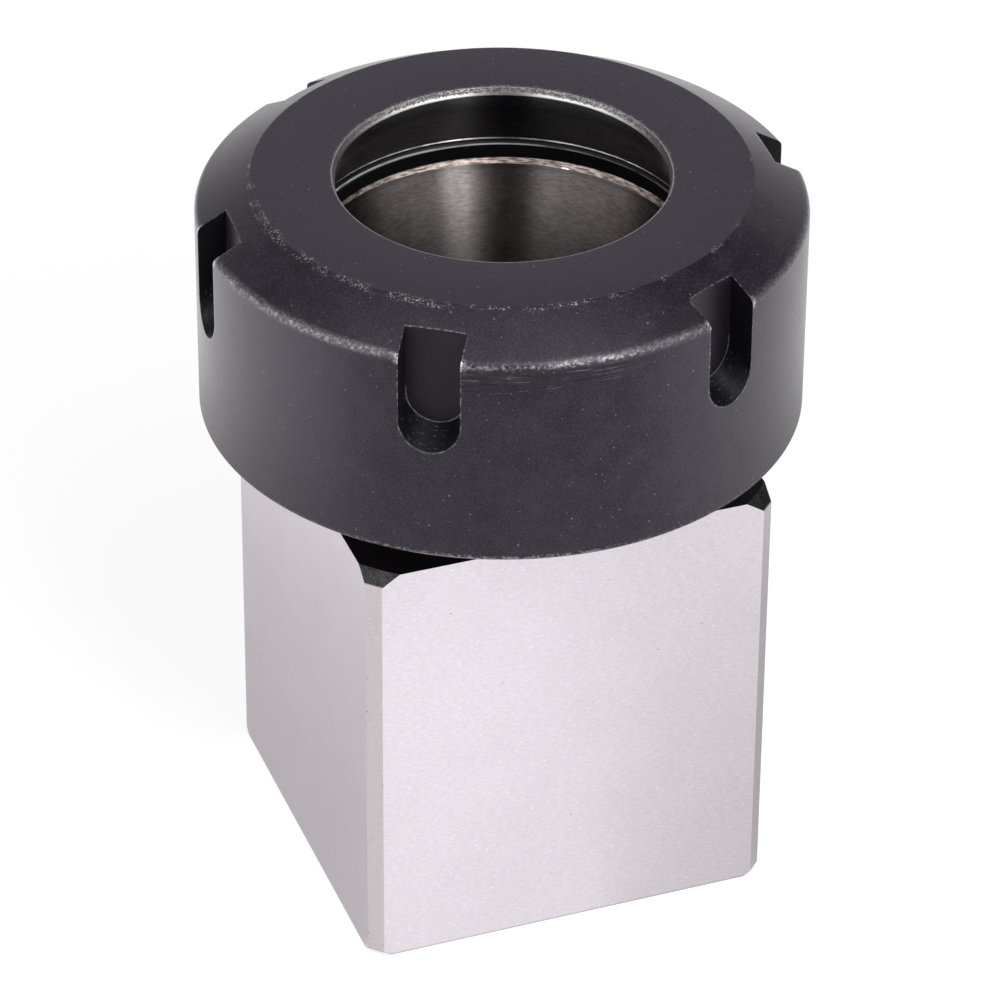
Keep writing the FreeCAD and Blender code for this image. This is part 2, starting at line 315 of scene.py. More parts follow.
screen.from_pydata(points.reshape(-1, 3), [], quads.reshape(-1, 4).tolist())
wall = Finish("studio_wall", Base_Color=DARK, Roughness=1.0, Emission_Strength=BRIGHTEST)
off_axis = wall.x.math("ARCCOSINE", (wall.x * to_camera.x + wall.y * to_camera.y) / wall.r)
off_axis = off_axis * (180 / math.pi)
glow = BESIDE_CAMERA * wall.rise(off_axis, GAP - GAP_SOFT, GAP + GAP_SOFT) + (
    BEHIND - BESIDE_CAMERA) * wall.rise(off_axis, 80, 110)

# High up on both sides of the far half it is dimmer still, most of all on the right: that is
# what the fronts of the nut's outer cone mirror
DIM, DIM_MORE = 0.55, 0.30
slant = wall.z.math("ARCSINE", wall.z * (MM / SCREEN_RADIUS)) * (180 / math.pi)
on_right = wall.rise(wall.y * to_camera.x - wall.x * to_camera.y, 0, 1)
dim = wall.rise(off_axis, 84, 94) * wall.rise(off_axis, 150, 140) * (
    wall.rise(slant, 22, 30) * wall.rise(slant, 80, 75)) * (DIM + DIM_MORE * on_right)
wall.feed(Emission_Color=wall.blend(glow * (1 - dim) / BRIGHTEST, DARK, WHITE))
screen.materials.append(wall.material)
for glowing in (paper, wall):
    glowing.material.cycles.emission_sampling = "NONE"
studio = link(bpy.data.objects.new("studio_wall", screen))
studio.visible_camera = studio.visible_diffuse = studio.visible_shadow = False

# The sky is white to the camera and in mirrors, and lights the scene about a third as much
bpy.context.scene.world = bpy.data.worlds.new("sky")
sky = Shader(bpy.context.scene.world)
backdrop = sky.node("ShaderNodeBackground", {}, {
    "Color": WHITE, "Strength": SKY_LIGHT + (1 - SKY_LIGHT) * sky.rays()})
sky.node("ShaderNodeOutputWorld", sockets={"Surface": backdrop})


# The collet block is one piece of steel: a square shank ground on four flats, a turned
# shoulder and nose with a 1.5 mm thread, and a ground 8 degree taper through to a bore.
marks = {mount["name"]: mount for mount in frame["record"]["mounts"]}
HALF_FLAT = marks["flat_pos_x"]["pos_m"][0] / MM
BORE = marks["through_bore"]["dims"]["r_mm"]
MOUTH = marks["collet_taper"]["dims"]["r_mm"]
TAPER_LENGTH = marks["collet_taper"]["dims"]["length_mm"]
NOSE_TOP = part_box("collet_block")[1].z / MM
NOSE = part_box("collet_block")[1].x / MM
SHOULDER = 48.75
CORNER_LEG, CORNER_AT_SHOULDER, CORNER_AT_BASE = 1.36, 29.2, 29.95
NECK, NECK_TOP = 23.8, 52.25
NOSE_CHAMFER, MOUTH_CHAMFER, MOUTH_OPENED, BORE_CHAMFER = 1.0, 0.5, 0.43, 1.0
TAPER_SLOPE = math.tan(math.radians(8))
PITCH, THREAD_DEPTH, CREST, ROOT = 1.5, 0.92, 0.125, 0.25
COLUMNS, ROWS_A_PITCH = 320, 12
MERGE_WITHIN, SLIVER = 1e-7, 1e-8


def outline_radius(theta):
    """Distance from the axis to the square outline with cut corners: the nearer of the flat,
    HALF_FLAT / cos(turn from the flat), and the corner flat at 45 degrees to it."""
    turn = np.abs((theta + np.pi / 4) % (np.pi / 2) - np.pi / 4)
    corner = (2 * HALF_FLAT - CORNER_LEG) / math.sqrt(2)
    return np.minimum(HALF_FLAT / np.cos(turn), corner / np.cos(np.pi / 4 - turn))


def thread(theta, z, phase=0.0):
    """0 on the crest and 1 in the root of a right-hand thread: a trapezoid wave of
    z / PITCH - theta / turn, with CREST and ROOT the shares of the pitch that are level."""
    wave = np.abs((z / PITCH - theta / (2 * np.pi) + phase) % 1.0 - 0.5) * 2
    return np.clip((1 - CREST - wave) / (1 - CREST - ROOT), 0, 1)


def rounded(corners, steps):
    """Path through (r, z, round) corners. A round is the arc that touches both sides, in
    steps points: its tangent points lie round * tan(half the turn) from the corner."""
    path = []
    for i, (r, z, size) in enumerate(corners):
        here = np.array((r, z))
        if size == 0:
            path.append(here)
            continue
        back = np.array(corners[i - 1][:2]) - here
        ahead = np.array(corners[i + 1][:2]) - here
        back, ahead = back / np.linalg.norm(back), ahead / np.linalg.norm(ahead)
        turn = np.pi - np.arccos(np.clip(back @ ahead, -1, 1))
        inward = (back + ahead) / np.linalg.norm(back + ahead)
        centre = here + inward * size / math.cos(turn / 2)
        along = ahead - (ahead @ inward) * inward
        along = along / np.linalg.norm(along)
        for angle in np.linspace(-turn / 2, turn / 2, steps):
            path.append(centre + size * (math.sin(angle) * along - math.cos(angle) * inward))
    return [tuple(point) for point in path]


def ring_mesh(name, rows, theta, finishes, choose):
    """Closed ring: point (i, j) is at radius and height rows[i] and bearing theta[j]; the
    last row and column join the first. choose(i, j) arrays give each face's finish."""
    shape = (len(rows), len(theta))
    radius = np.array([np.broadcast_to(r, shape[1]) for r, z in rows], float) * MM
    height = np.array([np.broadcast_to(z, shape[1]) for r, z in rows], float) * MM
    points = np.stack([radius * np.cos(theta), radius * np.sin(theta), height], -1)
    index = np.arange(shape[0] * shape[1]).reshape(shape)
    across, up = np.roll(index, -1, 1), np.roll(index, -1, 0)
    quads = np.stack([index, across, np.roll(across, -1, 0), up], -1).reshape(-1, 4)
    mesh = bpy.data.meshes.new(name)
    mesh.from_pydata(points.reshape(-1, 3), [], quads.tolist())
    i, j = np.indices(shape)
    mesh.polygons.foreach_set("material_index", choose(i, j).astype(np.int32).ravel())
    for finish in finishes:
        mesh.materials.append(finish.material)
    work = bmesh.new()
    work.from_mesh(mesh)
    bmesh.ops.remove_doubles(work, verts=work.verts, dist=MERGE_WITHIN)
    bmesh.ops.dissolve_degenerate(work, edges=work.edges, dist=SLIVER)
    work.to_mesh(mesh)
    work.free()
    return link(bpy.data.objects.new(name, mesh))


def smooth(piece, angle=28):
    """Smooth shading, with every edge sharper than the angle kept crisp."""
    piece.data.polygons.foreach_set("use_smooth", np.ones(len(piece.data.polygons), bool))
    piece.data.set_sharp_from_angle(angle=math.radians(angle))


# Columns: even all round, with more where a flat or a turned corner starts
CORNER_TURN = math.atan2(HALF_FLAT - CORNER_LEG, HALF_FLAT)
flat_turns = [math.acos(HALF_FLAT / CORNER_AT_SHOULDER), math.acos(HALF_FLAT / CORNER_AT_BASE),
              CORNER_TURN, math.pi / 4]
turns = [quarter * math.pi / 2 + side * turn
         for quarter in range(4) for side in (-1, 1) for turn in flat_turns]
theta = np.unique(np.round(np.concatenate([
    np.linspace(0, 2 * np.pi, COLUMNS, endpoint=False), np.mod(turns, 2 * np.pi)]), 9))
outline = outline_radius(theta)
base_edge = np.minimum(outline, CORNER_AT_BASE)
shoulder_edge = np.minimum(outline, CORNER_AT_SHOULDER)

# Rows: up the outside from the base, over the nose, and down through the taper and the bore.
# The corners of the square are turned off to a cone of 45 degrees at both ends.
shank_rows = [
    (base_edge, 0.0),
    (outline, outline - base_edge),
    (outline, SHOULDER - (outline - shoulder_edge)),
    (shoulder_edge, SHOULDER)]
nose_rows = [(NECK, SHOULDER)]
for z in np.arange(NECK_TOP, NOSE_TOP, PITCH / ROWS_A_PITCH):
    cut = NOSE - THREAD_DEPTH * thread(theta, z)
    start = min(NECK + z - NECK_TOP, NOSE - NOSE_CHAMFER + NOSE_TOP - z)
    nose_rows.append((np.minimum(cut, start), z))
end_rows = [(NOSE - NOSE_CHAMFER, NOSE_TOP), (MOUTH + MOUTH_OPENED, NOSE_TOP)]
taper_rows = [(MOUTH - MOUTH_CHAMFER * TAPER_SLOPE, NOSE_TOP - MOUTH_CHAMFER),
              (MOUTH - TAPER_LENGTH * TAPER_SLOPE, NOSE_TOP - TAPER_LENGTH)]
bore_rows = [(BORE, NOSE_TOP - TAPER_LENGTH), (BORE, BORE_CHAMFER), (BORE + BORE_CHAMFER, 0)]
block_rows = shank_rows + nose_rows + end_rows + taper_rows + bore_rows

# Flats: surface ground, with the grain lying along the two Y flats and standing on the two
# X flats, a few pits and painted glints, and a painted shade line where they meet the base
ground = Finish("ground_flats", Metallic=1.0, Anisotropic=0.2)
upright = ground.rise(abs(ground.x), HALF_FLAT - 0.06, HALF_FLAT - 0.03)
grain_place = ground.vector(
    ground.x * 1.3, ground.y * (1.3 + 4.7 * upright), ground.z * (6.0 - 4.9 * upright))
ground_grain = ground.noise(grain_place, 1.0, 3.0, 0.65)
ground_cloud = ground.noise(ground.place, 0.16, 3.0, 0.55)
ground_tone = ground.rise(
    (ground_grain - 0.5) * (1.0 - 0.5 * upright) + (ground_cloud - 0.5) * 0.22, -0.28, 0.28)
ground_pits = ground.specks(
    ground.vector(ground.x * 0.35, ground.y * 0.35, ground.z * 0.45), 0.045, 0.45)
ground_dash = ground.specks(
    ground.vector(ground.x * 0.22, ground.y * 0.22, ground.z * 1.6), 0.09, 0.12)
ground_colour = ground.blend(ground_tone, (0.66, 0.607, 0.655, 1), (0.775, 0.717, 0.77, 1))
# Painted highlights: small white glints in the colour of the flats
ground_glints = ground.rise(ground.noise(ground.vector(
    ground.x * 2.2, ground.y * 2.2, ground.z * 3.4), 1.0, 2.0, 0.6), 0.60, 0.72)
ground_colour = ground.blend(
    (ground_dash * 0.45).most(ground_glints * 0.4), ground_colour, (0.97, 0.94, 0.97, 1))
# Painted shade: a thin dark line along the foot of the flats, where they stand on the table
ground_colour = ground.blend(
    ground.rise(ground.z, 0.22, 0.06) * 0.55, ground_colour, (0.30, 0.27, 0.29, 1))
ground.feed(
    Base_Color=ground.blend(ground_pits * 0.75, ground_colour, (0.20, 0.17, 0.19, 1)),
    Roughness=0.30 + 0.10 * ground_grain,
    Normal=ground.bump(ground_grain - ground_pits * 0.8, 0.012))

# The flat along each upright corner is milled, and left a little warmer and pitted
corner = Finish("milled_corners", Metallic=1.0)
corner_grain = corner.noise(
    corner.vector(corner.x * 2, corner.y * 2, corner.z * 5), 1.0, 3.0, 0.6)
corner_pits = corner.specks(
    corner.vector(corner.x * 0.9, corner.y * 0.9, corner.z * 0.55), 0.12, 0.35)
corner_colour = corner.blend(
    corner.rise(corner_grain, 0.25, 0.75), (0.51, 0.465, 0.48, 1), (0.585, 0.54, 0.555, 1))
corner.feed(
    Base_Color=corner.blend(corner_pits * 0.7, corner_colour, (0.16, 0.13, 0.13, 1)),
    Roughness=0.28 + 0.12 * corner_grain,
    Normal=corner.bump(corner_grain - corner_pits, 0.015))

# Turned surfaces: fine rings round the axis, dark and spotted, with a painted highlight along
# the edge where the turned corners run into the corner flats
turned = Finish("turned_steel", Metallic=1.0)
turned_rings = turned.noise(turned.around(0.25, 9.0, turned.z + turned.r), 1.0, 2.0, 0.6)
turned_cloud = turned.noise(turned.place, 0.35, 3.0, 0.6)
turned_spots = turned.noise(turned.place, 4.5, 3.0, 0.7)
# Painted highlight: a light line where the upper turned corners meet the corner flats
turned_edge_highlight = turned.rise(turned.r, 30.35, 30.45) * turned.rise(turned.z, 40, 42)
turned_colour = turned.blend(
    turned.rise(turned_rings * 0.3 + turned_cloud * 0.3 + turned_spots * 0.4, 0.40, 0.60),
    (0.002, 0.002, 0.002, 1), (0.040, 0.039, 0.043, 1))
# Painted shade: from the shoulder up, under the nut, the colour is one plain dark
turned_colour = turned.blend(
    turned.rise(turned.z, SHOULDER - 0.02, SHOULDER), turned_colour, (0.05, 0.045, 0.05, 1))
turned.feed(
    Base_Color=turned.blend(turned_edge_highlight * 0.5, turned_colour, (0.40, 0.37, 0.34, 1)),
    Roughness=0.30 + 0.12 * turned_rings,
    Normal=turned.bump(turned_rings, 0.02))

# Mouth: a chamfer cut after grinding, bright, with small painted glints where it is nicked
mouth = Finish("mouth_chamfer", Metallic=1.0)
mouth_grain = mouth.noise(mouth.around(0.9, 7.0, mouth.z), 1.0, 3.0, 0.6)
mouth_glint = mouth.specks(mouth.around(0.55, 2.2, mouth.z), 0.34, 0.16)
mouth_colour = mouth.blend(
    mouth.rise(mouth_grain, 0.35, 0.65), (0.07, 0.055, 0.05, 1), (0.36, 0.30, 0.28, 1))
mouth.feed(
    Base_Color=mouth.blend(mouth_glint, mouth_colour, (0.98, 0.95, 0.93, 1)),
    Roughness=0.42 - 0.12 * mouth_glint,
    Normal=mouth.bump(mouth_grain, 0.03))

# Taper: ground round and round, so it glints in upright bands
taper = Finish("ground_taper", Metallic=1.0, Anisotropic=1.0, Anisotropic_Rotation=0.25)
taper_grain = taper.noise(taper.around(1.1, 5.0, taper.z), 1.0, 3.0, 0.65)
taper_cloud = taper.noise(taper.place, 0.3, 3.0, 0.6)
taper_edge = taper.rise(taper.z, NOSE_TOP - 1.25, NOSE_TOP - 0.8)
taper_tone = taper.rise((taper_grain - 0.5) * 1.1 + (taper_cloud - 0.5) * 0.5, -0.3, 0.3)
taper_colour = taper.blend(taper_tone, (0.255, 0.228, 0.222, 1), (0.465, 0.426, 0.42, 1))
# Painted shade: the taper is darker from 3 to 12 mm below the mouth, deeper in the block
taper_colour = taper.blend(
    taper.rise(taper.z, NOSE_TOP - 3, NOSE_TOP - 12) * 0.65, taper_colour, (0.07, 0.06, 0.065, 1))
taper.feed(
    Base_Color=taper.blend(taper_edge * 0.45, taper_colour, (0.18, 0.16, 0.155, 1)),
    Roughness=0.28 + 0.03 * taper_grain,
    Normal=taper.bump(taper_grain, 0.003))

# Bore: bored, with coarser rings than the taper
bore = Finish("bored_steel", Metallic=1.0)
bore_rings = bore.noise(bore.around(0.2, 5.0, bore.z), 1.0, 2.0, 0.6)
bore.feed(
    Base_Color=bore.blend(bore_rings, (0.24, 0.22, 0.22, 1), (0.44, 0.41, 0.41, 1)),
    Roughness=0.32 + 0.14 * bore_rings,
    Normal=bore.bump(bore_rings, 0.02))

TURNED, GROUND, CORNER, MOUTH_EDGE, TAPER, BORED = range(6)
FLATS_ROW = 1
first_mouth = len(shank_rows + nose_rows + end_rows) - 1
row_finish = np.full(len(block_rows), TURNED)
row_finish[first_mouth:] = [MOUTH_EDGE, TAPER, BORED, BORED, BORED, TURNED]


def block_finish(i, j):
    """Finish of each face of the block, by its row and, between the flats, by its turn from
    the nearest flat: |(bearing + 45) mod 90 - 45| degrees."""
    middle = (theta[j] + np.roll(theta, -1)[j] + np.where(j == len(theta) - 1, 2 * np.pi, 0)) / 2
    turn = np.abs((middle + np.pi / 4) % (np.pi / 2) - np.pi / 4)
    shank_finish = np.where(turn > CORNER_TURN, CORNER, GROUND)
    return np.where(i == FLATS_ROW, shank_finish, row_finish[i])


block = ring_mesh("block_body", block_rows, theta,
                  [turned, ground, corner, mouth, taper, bore], block_finish)
smooth(block)
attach(block, "block")
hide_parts("collet_block")


# The closer nut is one piece of steel, turned, slotted for a spanner, blackened, and skimmed
# at its lip. The ring that pulls the collet out is cut off centre under the clamping cone.
NUT_LENGTH, BARREL, FACE = 26.5, 31.5, 25.75
NUT_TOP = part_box("closer_nut")[1].z / MM
NUT_FOOT = NUT_TOP - NUT_LENGTH
CONE_FOOT = NUT_TOP - (BARREL - FACE) * math.tan(math.radians(30))
HEAD = marks["closer_cone"]["dims"]["r_mm"]
CLAMP, LIP_WIDTH, LIP_HEIGHT = 5.89, 0.28, 0.83
THROAT = HEAD - CLAMP * math.tan(math.radians(30))
RING_UNDER, RING_TOP, SEAT_TOP = NUT_FOOT + 16.3, NUT_FOOT + 17.95, NUT_FOOT + 18.55
NUT_CLOCK = -3.3
RING, RING_OFFSET, RING_BEARING = 19.9, 0.45, math.radians(40 + NUT_CLOCK)
RELIEF, RELIEF_FOOT, NUT_BORE = 25.4, NUT_FOOT + 13.3, NOSE + 0.05
NUT_THREAD_DEPTH, LEAD = 0.75, 1.0
SEAT_ROUND, SEAT_SINK, SEAT_STEP, EASE, FOOT_CHAMFER = 0.8, 0.25, 0.01, 0.06, 0.4
ROUND_STEPS, SEAT_STEPS = 7, 10

even = np.linspace(0, 2 * np.pi, COLUMNS, endpoint=False)
swing = even - RING_BEARING
ring_bore = RING_OFFSET * np.cos(swing) + np.sqrt(RING ** 2 - (RING_OFFSET * np.sin(swing)) ** 2)
turned_rows = rounded([
    (NUT_BORE + LEAD, NUT_FOOT, 0),
    (BARREL - FOOT_CHAMFER, NUT_FOOT, 0.1),
    (BARREL, NUT_FOOT + FOOT_CHAMFER, 0.25),
    (BARREL, CONE_FOOT, 0.9),
    (FACE, NUT_TOP, 0.35),
    (THROAT + LIP_WIDTH, NUT_TOP, 0.08),
    (THROAT, NUT_TOP - LIP_HEIGHT, 0.6),
    (THROAT, SEAT_TOP + CLAMP, 4.0),
    (HEAD, SEAT_TOP, 0.5),
    (HEAD, RING_TOP, 0)], ROUND_STEPS)[:-1]

# The corner under the head seat is a quarter round, which takes the place of the last point
# above, and is cut short where the ring's bore meets it
seat_rows = []
for angle in np.radians(np.linspace(0, 90, SEAT_STEPS)):
    r = np.maximum(HEAD - SEAT_ROUND * (1 - math.cos(angle)), ring_bore)
    drop = np.sqrt(SEAT_ROUND ** 2 - (r - HEAD + SEAT_ROUND) ** 2)
    z = RING_TOP - SEAT_SINK + SEAT_ROUND - drop
    seat_rows.append((r, np.minimum(z, SEAT_TOP - SEAT_STEP)))
ring_rows = [
    (ring_bore, seat_rows[-1][1] - EASE),
    (ring_bore, RING_UNDER + EASE), (ring_bore + EASE, RING_UNDER),
    (RELIEF, RING_UNDER), (RELIEF, RELIEF_FOOT)]
nut_thread_rows = []
for z in np.arange(RELIEF_FOOT, NUT_FOOT, -PITCH / ROWS_A_PITCH)[1:]:
    fade = np.clip((RELIEF_FOOT - z) / PITCH, 0, 1)
    cut = NUT_BORE + NUT_THREAD_DEPTH * fade * thread(even, z, phase=0.5)
    start = max(NUT_BORE + LEAD - (z - NUT_FOOT), RELIEF - (RELIEF_FOOT - z))
    nut_thread_rows.append((np.maximum(cut, start), z))
nut_rows = turned_rows + seat_rows + ring_rows + nut_thread_rows

# Slots: six, milled in from the outside with a flat floor, parallel sides and a round end
# that falls towards the outside. They are open through the cone at the front.
SLOTS, SLOT_HALF, SLOT_DEPTH, SLOT_REACH = 6, 3.15, 3.15, 14.0
ARC_POINTS, CUTTER_UP, CUTTER_OUT = 25, 20.0, 2.0
SLOT_FALL = math.tan(math.radians(27.5))
SLOT_BEARING = math.radians(NUT_CLOCK)
SLOT_FLOOR = BARREL - SLOT_DEPTH
SLOT_END = NUT_TOP - SLOT_REACH + SLOT_DEPTH * SLOT_FALL + SLOT_HALF


def slot_place(finish):
    """Where a point lies about its nearest slot, with the bearing folded into one sixth of a
    turn: across and out from the axis, up from the round end's centre, and beside, the
    distance outside the outline, (across^2 + min(up, 0)^2)^0.5 - SLOT_HALF."""
    sixth = 2 * math.pi / SLOTS
    steps = (finish.y.math("ARCTAN2", finish.y, finish.x) - SLOT_BEARING) / sixth
    turn = (steps - steps.math("ROUND", steps)) * sixth
    across, out = finish.r * turn.math("SINE", turn), finish.r * turn.math("COSINE", turn)
    up = finish.z - (SLOT_END - (out - SLOT_FLOOR) * SLOT_FALL)
    under = up.least(0.0)
    beside = (across * across + under * under) ** 0.5 - SLOT_HALF
    return SimpleNamespace(across=across, out=out, up=up, beside=beside)


# Black oxide: a dark, slightly violet film over turned steel, rubbed through at its edges.
# Bearings are in degrees round from -Y, and far is the cosine of the turn from the far side.
black = Finish("black_oxide", IOR=1.45, Specular_Tint=(0.94, 0.84, 1.0, 1.0))
STEEL = (0.42, 0.41, 0.42, 1)
FAR_SIDE = toward(160, 0)
bearing = black.x.math("ARCTAN2", black.x, -black.y) * (180 / math.pi)
far = (black.x * FAR_SIDE.x + black.y * FAR_SIDE.y) / black.r
fuzz = black.noise(black.place, 2.6, 4.0, 0.7)
mottle = black.noise(black.place, 4.2, 3.0, 0.75)
cloud = black.noise(black.place, 0.35, 4.0, 0.6)
at = slot_place(black)
beside = at.beside.most(SLOT_FLOOR - at.out)

# Shoulder: rubbed in lengths, to a broken line on the right, and on the left to a broad band that
# is rubbed film and painted highlight together.
# from_shoulder runs up the cone and, below zero, down the barrel.
ALONG_CONE = 1.155
from_shoulder = (BARREL - black.r) * ALONG_CONE - (CONE_FOOT - black.z).most(0.0)
worn_behind = 0.25 * black.band(bearing, 96, 40, 30)
# Painted highlight as well as wear: the broad band is strongest at bearing -63, on the left
rub_and_sheen = black.band(from_shoulder, 0.05, 0.15, 0.75) * (
    0.16 + 0.60 * black.band(bearing, -63, 15, 16) + 0.35 * black.band(bearing, 5, 9, 12)
    + worn_behind)
rub_and_sheen = rub_and_sheen * black.rise(mottle * 0.5 + fuzz * 0.5, 0.28, 0.58)
worn = 0.12 + 0.50 * black.band(bearing, -10, 16, 6) + 0.32 * black.band(bearing, -66, 14, 12)
torn = black.band(from_shoulder, -0.12, 0.06, 0.6) * (worn + worn_behind) + (
    (fuzz - 0.5) * 2.2) + (mottle - 0.5)
broken_line = black.rise(torn, 0.40, 0.85) * black.band(from_shoulder, -0.1, 0.55, 0.25)
shoulder_wear_and_sheen = (rub_and_sheen * (0.42 + 0.45 * black.rise(fuzz, 0.50, 0.62))).most(broken_line * 0.66)

# Rim of the face: a chain of small chips, dense on the left
NUT_FRONT = NUT_TOP - 0.3
rim = black.r - FACE + (black.noise(black.place, 0.9) - 0.5) * 0.9
chips = black.rise(black.noise(black.place, 4.6, 3.0, 0.65), 0.53, 0.62)
dense = black.band(bearing, -66, 28, 16)
share = 0.14 * dense.most(black.band(bearing, -25, 28, 12) * 0.7)
rim_wear = chips * (black.band(rim, 0.05, 0.10 + 0.22 * dense, 0.30) * black.rise(
    black.noise(black.place, 0.55), 0.50 - share, 0.64 - share)) * black.rise(
        black.z, NUT_FRONT - 0.3, NUT_FRONT)

# Lip: the film has flaked off in a ragged ring, widest on the far side, and is worn to a
# line at its very edge
on_front = black.rise(black.z, NUT_FRONT, NUT_FRONT + 0.2)
outside_lip = black.r - (THROAT + LIP_WIDTH)
ragged = black.noise(black.place, 2.2, 5.0, 0.75)
flake_width = 0.55 + 0.40 * far
flaked = black.rise((ragged - 0.5) * 2.4 + 1.0 - outside_lip / flake_width, 0.45, 0.95)
flaked = flaked * on_front * black.rise(black.r, 20, 19.5)
flaked = flaked * (0.22 + 0.78 * black.rise(black.noise(black.place, 4.6, 3.0, 0.7), 0.44, 0.60))
lip_line = black.rise(abs(outside_lip), 0.16, 0.08) * on_front * black.rise(fuzz, 0.30, 0.48)

# Slots: a thin bright line along each edge, and a bare spot where it crosses the shoulder.
# The foot of the barrel is worn in a thin broken line.
slot_line = black.rise(beside, 0.20, 0.04)
crossing = black.rise(beside, 0.75, 0.1) * black.band(from_shoulder, -0.1, 0.35, 0.6)
slot_wear = slot_line * black.rise(fuzz, 0.44, 0.62) * 0.48 + (
    crossing * black.rise(fuzz, 0.40, 0.56) * 0.95)
foot_wear = black.rise(black.z, NUT_FOOT + 0.85, NUT_FOOT + 0.45) * black.rise(
    fuzz * 0.6 + mottle * 0.4, 0.49, 0.55) * (0.28 + 0.34 * black.band(bearing, -24, 15, 12))

# Strays: pale flecks, short scratches that lean across the barrel, and rubs along it. Where
# any of this wear is, the steel is bare.
swerve = black.noise(black.place, 0.5)
half_place = black.node(
    "ShaderNodeVectorMath", {"operation": "SCALE"}, {0: black.place, "Scale": 0.5})
flecks = black.specks(black.place, 0.11, 0.10) + black.specks(half_place, 0.075, 0.30) + (
    black.rise(black.noise(black.place, 2.9, 2.0, 0.4), 0.735, 0.77))
veer = (swerve - 0.5) * 3.0
lean = black.vector((bearing * 0.55 + black.z * (0.9 + veer)) * 0.5, black.r * 0.25,
                    (black.z * 1.3 - bearing * (0.4 + veer)) * 2.6)
scratches = black.rise(black.noise(lean, 1.0, 1.0, 0.5), 0.725, 0.77)
drawn = black.noise(black.vector(bearing * 0.14, black.r, black.z * 8.0), 1.0, 3.0, 0.6)
rubbed = black.band(from_shoulder, -1.2, 1.4, 0.9) * black.band(bearing, -12, 13, 8)
rubs = black.rise(drawn, 0.57, 0.66) * rubbed
strays = flecks.least(1.0) * 0.38 + (scratches * 0.8 + rubs).least(1.2) * black.rise(
    swerve, 0.40, 0.56) * 0.24
bare = shoulder_wear_and_sheen.most(rim_wear * 0.75).most(flaked * 0.55).most(lip_line * 0.85).most(
    slot_wear).most(foot_wear).most(strays).least(1.0)

# Film: its tone is coarser on the cone and the face, darker in streaks where it is rubbed, and
# lighter on the far side, which is painted light. It is more violet on the face.
on_face = black.rise(black.r, FACE + 0.2, FACE - 0.2)
coarse = 0.9 + 0.5 * black.band(black.r, 28.6, 2.6, 0.3) + 1.1 * on_face
pores = black.noise(black.place, 9.0, 2.0, 0.7)
tone = (mottle - 0.5) * coarse + (pores - 0.5) * 0.9 + (cloud - 0.5) * 0.5
tone = tone - 0.6 * rubbed * black.rise(drawn, 0.44, 0.36)
# Painted light: the cone and the face are lighter on the far side and darker towards the camera
tone = tone + (far * 0.075 - 0.025) * black.rise(black.z, CONE_FOOT, CONE_FOOT + 1)
film = black.blend(
    black.rise(tone, -0.17, 0.17), (0.0006, 0.0, 0.0028, 1), (0.0255, 0.0205, 0.0295, 1))
film = black.blend(on_face * 0.35, film, (0.012, 0.003, 0.022, 1))
black.feed(
    Base_Color=black.blend(bare, film, STEEL),
    Metallic=bare,
    Roughness=0.26 + 0.10 * cloud + 0.12 * mottle,
    Normal=black.bump(mottle * 0.6 + fuzz * 0.4 - 0.9 * black.rise(beside, 0.22, 0.0), 0.020))

# Clamping cone: turned fine before blackening, so it glints in faint upright bands
cone = Finish("turned_cone", IOR=1.7, Anisotropic=1.0, Anisotropic_Rotation=0.25)
cone_rings = cone.noise(cone.around(0.12, 7.0, cone.z), 1.0, 3.0, 0.6)
cone_flecks = cone.specks(cone.place, 0.05, 0.12)
cone_film = cone.blend(cone_rings, (0.001, 0.001, 0.0015, 1), (0.004, 0.003, 0.005, 1))
cone.feed(
    Base_Color=cone.blend(cone_flecks * 0.4, cone_film, STEEL),
    Metallic=cone_flecks * 0.4,
    Roughness=0.25 + 0.05 * cone_rings,
    Normal=cone.bump(cone_rings, 0.001))

# Foot of the cone: a narrow line that the heads of collets have burnished
seat = Finish("burnished_seat", Metallic=1.0, Anisotropic=1.0, Anisotropic_Rotation=0.25)
seat_rub = seat.noise(seat.place, 0.6, 3.0, 0.6)
seat_colour = seat.blend(
    seat.rise(seat_rub, 0.35, 0.6), (0.45, 0.44, 0.45, 1), (0.9, 0.88, 0.9, 1))
seat.feed(
    Base_Color=seat_colour,
    Roughness=0.46 + 0.12 * seat_rub,
    Normal=seat.bump(seat_rub, 0.01))

# Lip: skimmed bare below, torn into flecks along its upper edge where the film starts
lip = Finish("skimmed_lip", Metallic=1.0)
lip_tear = lip.noise(lip.place, 3.0, 4.0, 0.7)
lip_bare = lip.rise((NUT_TOP - lip.z) * 2.4 + (lip_tear - 0.5) * 2.0, 0.85, 1.30)
lip_flecks = lip.rise(lip.noise(lip.place, 4.6, 3.0, 0.7), 0.44, 0.60)
lip_rings = lip.noise(lip.around(0.4, 9.0, lip.z), 1.0, 2.0, 0.5)
lip_colour = lip.blend(lip_rings, (0.50, 0.48, 0.48, 1), (0.74, 0.71, 0.72, 1))
lip_colour = lip.blend(
    lip_bare.most(lip_flecks * 0.45 + 0.08), (0.03, 0.027, 0.032, 1), lip_colour)
lip.feed(
    Base_Color=lip_colour,
    Metallic=lip_bare.most(lip_flecks),
    Roughness=0.42 - 0.12 * lip_bare,
    Normal=lip.bump(lip_tear * (1 - 0.8 * lip_bare), 0.03))

# Inside, the ring, relief and thread keep their film, with a painted highlight along the ring's
# top edge
inner = Finish("black_inside", IOR=1.30)
inner_rings = inner.noise(inner.around(0.3, 6.0, inner.z), 1.0, 3.0, 0.6)
inner_edge_highlight = inner.band(inner.z, RING_TOP - 0.02, 0.02, 0.10) * inner.rise(inner.r, 20.6, 20.45)
inner_film = inner.blend(inner_rings, (0.001, 0.001, 0.001, 1), (0.004, 0.004, 0.005, 1))
inner.feed(
    Base_Color=inner.blend(
        inner_edge_highlight * inner.rise(inner_rings, 0.3, 0.5), inner_film, (0.5, 0.49, 0.5, 1)),
    Roughness=0.40 + 0.15 * inner_rings,
    Normal=inner.bump(inner_rings, 0.02))

